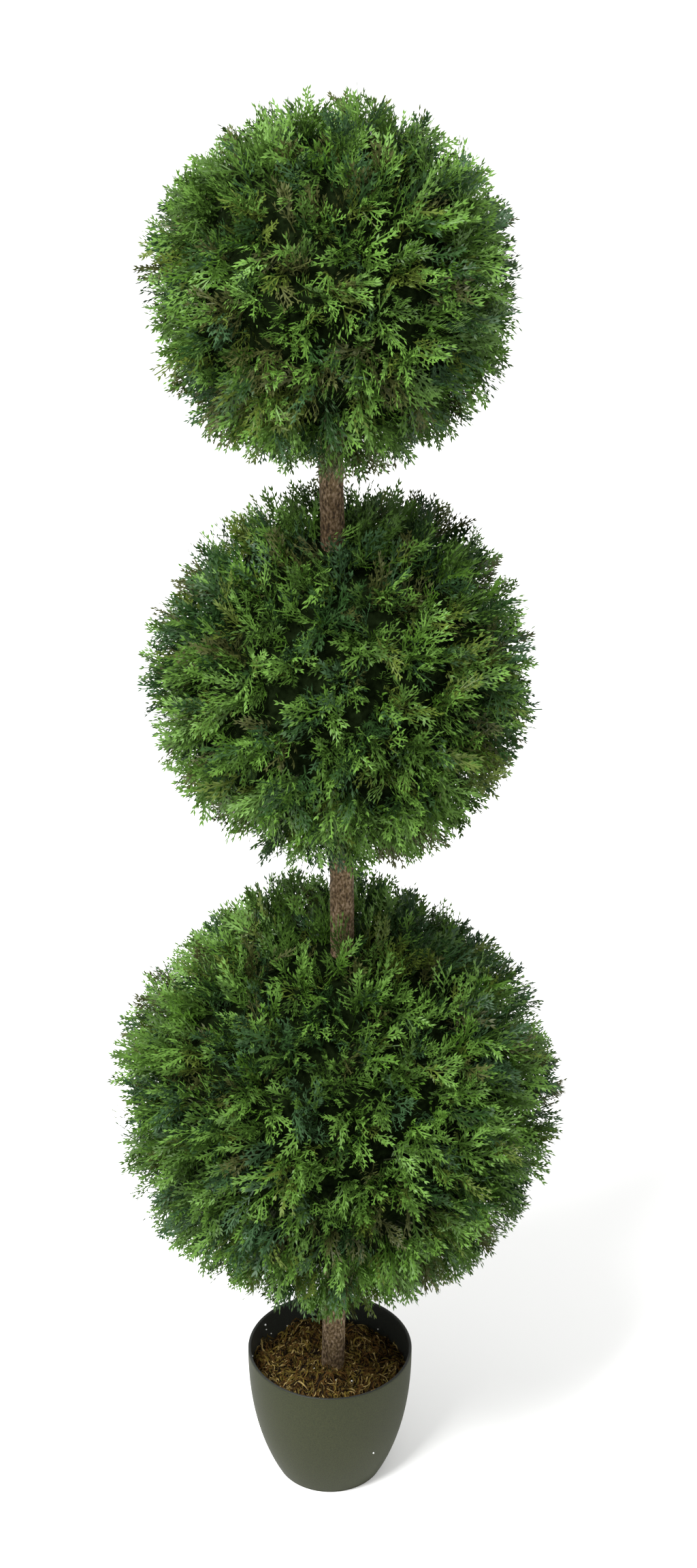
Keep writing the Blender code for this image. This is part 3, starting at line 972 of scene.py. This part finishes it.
def build_moss_strands(settings):
    """Curly ribbons over the heap: each walks on with a turning heading and rises and falls by a wave.

    Points past the pot's wall are pulled in to it, and points in the stem are pushed out of it.
    """
    chance = np.random.default_rng(STRAND_SEED)
    count, steps = settings.strands, STRAND_STEPS
    radius = STRAND_SPREAD * np.sqrt(chance.uniform(0.02, 1.0, count))
    turn = chance.uniform(0.0, FULL_TURN, count)
    heading = chance.uniform(0.0, FULL_TURN, (count, 1))
    own, each = STRAND_CURLS
    curl = chance.normal(0.0, own, (count, 1)) + chance.normal(0.0, each, (count, steps))
    drawn = chance.uniform(*STRAND_LENGTHS, (count, 1))
    length = settings.strand_length * drawn ** STRAND_LENGTH_POWER
    angles = heading + np.cumsum(curl, 1)
    x = (radius * np.cos(turn))[:, None] + np.cumsum(np.cos(angles), 1) * length / steps
    y = (radius * np.sin(turn))[:, None] + np.cumsum(np.sin(angles), 1) * length / steps
    share = np.linspace(0.0, 1.0, steps)[None, :]
    lift = chance.uniform(*STRAND_LIFTS, (count, 1))
    wave = chance.uniform(0.0, STRAND_WAVE, (count, 1))
    lift = lift + wave * np.sin(math.pi * share * chance.uniform(*STRAND_WAVE_TURNS, (count, 1)))
    z = moss_height(x, y, settings) + lift
    pull = np.minimum(1.0, (pot_radius(z) - POT_WALL - STRAND_GAP) / np.hypot(x, y))
    x, y = x * pull, y * pull
    centre = stem_centre(z)
    push = np.maximum(1.0, (STEM_FOOT_RADIUS + STRAND_GAP) / np.hypot(x - centre, y))
    x, y = centre + (x - centre) * push, y * push
    narrowing = 0.35 + 0.65 * np.sin(math.pi * (0.1 + 0.8 * share))
    width = settings.strand_width * chance.uniform(*STRAND_WIDTHS, (count, 1)) * narrowing
    tilt = chance.uniform(-STRAND_TILT, STRAND_TILT, (count, 1))
    across = np.stack([
        -np.sin(angles) * np.cos(tilt),
        np.cos(angles) * np.cos(tilt),
        np.broadcast_to(np.sin(tilt), angles.shape),
    ], -1)
    line = np.stack([x, y, z], -1)
    half = across * (width / 2)[..., None]
    points = np.stack([line - half, line + half], 2)
    step = np.arange(steps - 1) * 2
    quad = np.stack([step, step + 2, step + 3, step + 1], -1)
    faces = (np.arange(count)[:, None, None] * steps * 2 + quad).reshape(-1, 4)
    kinds = [dry_moss("moss_" + name, getattr(settings, name)) for name in STRAND_COLOURS]
    kind = np.repeat(chance.choice(len(kinds), count, p=STRAND_SHARES), steps - 1)
    add_piece("moss_strands", points.reshape(-1, 3), [faces], kinds, ("moss",), "dry_moss",
              material_index=kind)


def bead_surfaces(middles, radii):
    """Small round beads: rings at a few tilts between two poles, repeated at each middle."""
    sides, rings = BEAD_SIDES, len(BEAD_TILTS)
    tilt = np.radians(np.array(BEAD_TILTS))
    poles = [[0.0, 0.0, 1.0], [0.0, 0.0, -1.0]]
    ball = np.concatenate([turned(np.cos(tilt), np.sin(tilt), sides).reshape(-1, 3), poles])
    points = middles[:, None] + ball * radii[:, None, None]
    caps = np.concatenate([
        cap_faces(0, sides, rings * sides),
        cap_faces((rings - 1) * sides, sides, rings * sides + 1, looks_down=True),
    ])
    step = np.arange(len(middles))[:, None, None] * len(ball)
    groups = (grid_faces(rings, sides)[:, ::-1], caps)
    return points.reshape(-1, 3), [(step + group).reshape(-1, group.shape[1]) for group in groups]


def build_beads(settings, moss):
    """Stray foam beads: some stuck to the pot's walls, some lying on the moss."""
    middles = []
    for beads, outward in ((INNER_WALL_BEADS, -POT_WALL - settings.bead_radius * INNER_BEAD_OFF),
                           (OUTER_WALL_BEADS, settings.bead_radius * OUTER_BEAD_OFF)):
        for turn, height in beads:
            away = pot_radius(np.array(height)) + outward
            angle = math.radians(turn)
            middles.append((away * math.cos(angle), away * math.sin(angle), height))
    for x, y in MOSS_BEADS:
        middles.append((x, y, float(moss_height(np.array(x), np.array(y), moss)) + BEAD_LIFT))
    chance = np.random.default_rng(BEAD_SEED)
    radii = settings.bead_radius * chance.uniform(*BEAD_SIZES, len(middles))
    points, faces = bead_surfaces(np.array(middles), radii)
    add_piece("foam_beads", points, faces, [bead_foam()])


def build_floor(settings):
    """A flat disc far wider than the picture."""
    rings = len(FLOOR_RINGS)
    points = turned(np.array(FLOOR_RINGS), np.full(rings, -FLOOR_DROP), FLOOR_SIDES).reshape(-1, 3)
    points = np.concatenate([points, [[0.0, 0.0, -FLOOR_DROP]]])
    groups = (grid_faces(rings, FLOOR_SIDES)[:, ::-1], cap_faces(0, FLOOR_SIDES, rings * FLOOR_SIDES))
    mesh = new_mesh("floor", points, groups, [floor_paper(settings.floor)], smooth=False)
    add_object("floor", mesh)


def build_lights():
    """A bright even room, one broad soft light from the front left and a weak one from the right."""
    world = bpy.data.worlds.new("studio")
    world.use_nodes = True
    sky = world.node_tree.nodes["Background"]
    sky.inputs["Color"].default_value = (*WHITE, 1.0)
    sky.inputs["Strength"].default_value = ROOM_BRIGHTNESS
    bpy.context.scene.world = world
    for name, place, size, watts in LAMPS:
        light = bpy.data.lights.new(name, "AREA")
        light.size = size
        light.energy = watts
        lamp = add_object(name, light)
        lamp.location = place
        aim = Vector(LAMP_AIM) - lamp.location
        lamp.rotation_euler = aim.to_track_quat("-Z", "Y").to_euler()


def build_camera(settings):
    """A long lens that looks down at the tree from the front."""
    camera = bpy.data.cameras.new("camera")
    camera.lens = settings.lens
    camera.sensor_width = SENSOR_WIDTH
    camera.shift_x = settings.axis_offset
    camera.clip_end = FAR_CLIP
    eye = add_object("camera", camera)
    eye.location = (0.0, -settings.distance, settings.height)
    eye.rotation_euler = (math.pi / 2 - settings.pitch, 0.0, 0.0)
    bpy.context.scene.camera = eye


class TOPIARY_OT_stage(Operator):
    """Set the floor, the soft lights and the camera"""

    bl_idname = "topiary.stage"
    bl_label = "Stage"

    def execute(self, context):
        settings = context.scene.topiary_stage
        build_floor(settings)
        build_lights()
        build_camera(settings)
        context.scene.view_settings.view_transform = "Standard"
        return {"FINISHED"}


class TOPIARY_OT_pot(Operator):
    """Turn the pot's wall"""

    bl_idname = "topiary.pot"
    bl_label = "Pot"

    def execute(self, context):
        build_pot_wall(context.scene.topiary_pot)
        return {"FINISHED"}


class TOPIARY_OT_beads(Operator):
    """Add the stray foam beads"""

    bl_idname = "topiary.beads"
    bl_label = "Foam Beads"

    def execute(self, context):
        build_beads(context.scene.topiary_pot, context.scene.topiary_moss)
        return {"FINISHED"}


class TOPIARY_OT_filling(Operator):
    """Give the cast filling its cement"""

    bl_idname = "topiary.filling"
    bl_label = "Filling"

    def execute(self, context):
        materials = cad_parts["pot_filling"].data.materials
        materials.clear()
        materials.append(cast_cement())
        return {"FINISHED"}


class TOPIARY_OT_moss(Operator):
    """Heap the moss and lay its strands"""

    bl_idname = "topiary.moss"
    bl_label = "Moss"

    def execute(self, context):
        build_moss_heap(context.scene.topiary_moss)
        build_moss_strands(context.scene.topiary_moss)
        return {"FINISHED"}


class TOPIARY_OT_stem(Operator):
    """Cover the stem with bark"""

    bl_idname = "topiary.stem"
    bl_label = "Stem"

    def execute(self, context):
        build_stem(context.scene.topiary_stem)
        return {"FINISHED"}


class TOPIARY_OT_foliage(Operator):
    """Grow one ball's sprays, stalks and core"""

    bl_idname = "topiary.foliage"
    bl_label = "Ball of Foliage"

    node: StringProperty(name="Ball", description="Which ball is grown", default="ball_top")

    def execute(self, context):
        if self.node not in BALLS:
            raise ValueError(f"There is no ball called {self.node}")
        settings = context.scene.topiary_foliage
        ball = BALLS[self.node]
        greens = []
        for green in GREENS:
            name = "foliage_" + green
            known = bpy.data.materials.get(name)
            greens.append(known or moulded_foliage(name, getattr(settings, green)))
        places = build_sprays(self.node, ball, settings, greens)
        build_stalks(self.node, ball, settings, places)
        build_core(self.node, ball, settings)
        return {"FINISHED"}


class TOPIARY_PT_panel(Panel):
    """Lists the topiary's pieces, sizes and colours"""

    bl_idname = "TOPIARY_PT_panel"
    bl_label = "Topiary"
    bl_space_type = "VIEW_3D"
    bl_region_type = "UI"
    bl_category = "Topiary"

    def draw(self, context):
        layout = self.layout
        for operator in SINGLE_PIECES:
            layout.operator(operator.bl_idname)
        for node in BALLS:
            layout.operator("topiary.foliage", text=node.replace("_", " ").title()).node = node
        for name in GROUPS:
            settings = getattr(context.scene, name)
            box = layout.box()
            for key in settings.bl_rna.properties.keys():
                if key not in {"rna_type", "name"}:
                    box.prop(settings, key)


GROUPS = {
    "topiary_foliage": FoliageSettings,
    "topiary_stem": StemSettings,
    "topiary_pot": PotSettings,
    "topiary_moss": MossSettings,
    "topiary_stage": StageSettings,
}
SINGLE_PIECES = (
    TOPIARY_OT_stage, TOPIARY_OT_pot, TOPIARY_OT_beads, TOPIARY_OT_filling, TOPIARY_OT_moss, TOPIARY_OT_stem,
)
CLASSES = (*GROUPS.values(), *SINGLE_PIECES, TOPIARY_OT_foliage, TOPIARY_PT_panel)


def register():
    """Add the settings, the operators and the panel."""
    for item in CLASSES:
        bpy.utils.register_class(item)
    for name, group in GROUPS.items():
        setattr(bpy.types.Scene, name, PointerProperty(type=group))


def unregister():
    """Take away all that register adds."""
    for name in GROUPS:
        delattr(bpy.types.Scene, name)
    for item in reversed(CLASSES):
        bpy.utils.unregister_class(item)


def main():
    """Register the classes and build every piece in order."""
    register()
    bpy.ops.topiary.stage()
    bpy.ops.topiary.pot()
    bpy.ops.topiary.beads()
    bpy.ops.topiary.filling()
    bpy.ops.topiary.moss()
    bpy.ops.topiary.stem()
    for node in BALLS:
        bpy.ops.topiary.foliage(node=node)


if __name__ == "__main__":
    main()
